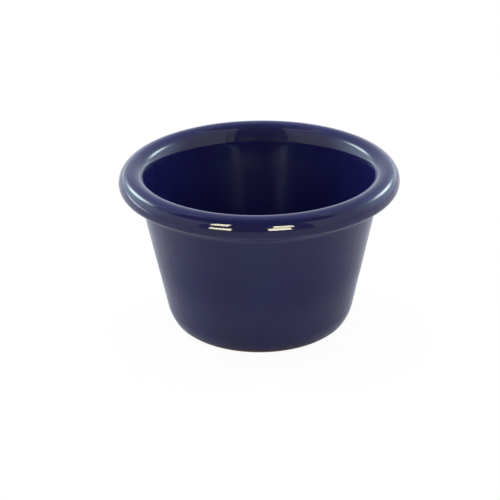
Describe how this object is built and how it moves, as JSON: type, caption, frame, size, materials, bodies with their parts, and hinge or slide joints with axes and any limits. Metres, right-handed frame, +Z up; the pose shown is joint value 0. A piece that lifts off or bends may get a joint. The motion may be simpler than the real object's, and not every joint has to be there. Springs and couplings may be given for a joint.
{
  "type": "ramekin",
  "caption": "Small round glazed stoneware ramekin with a tapered wall, a rolled rim and a bare foot ring, for baking, sauces and dips.",
  "frame": {"origin": "centre of the foot ring on the table plane, which is the bottom centre of the bounding box", "axes": "+Z up along the axis of turning; the ramekin is the same all round, so X and Y are free"},
  "size_m": [0.083, 0.083, 0.0489],
  "materials": {
    "stoneware": "bare fired buff stoneware, dry and slightly rough, seen only on the foot ring",
    "blue_glaze": "deep cobalt blue glossy glaze, smooth, slightly thin at the edges",
    "underside_blue_glaze": "the same glaze, a little thinner and more broken"
  },
  "bodies": {
    "root": {"stoneware_body": "stoneware", "glaze_coat": "blue_glaze", "underside_glaze": "underside_blue_glaze"}
  },
  "joints": []
}
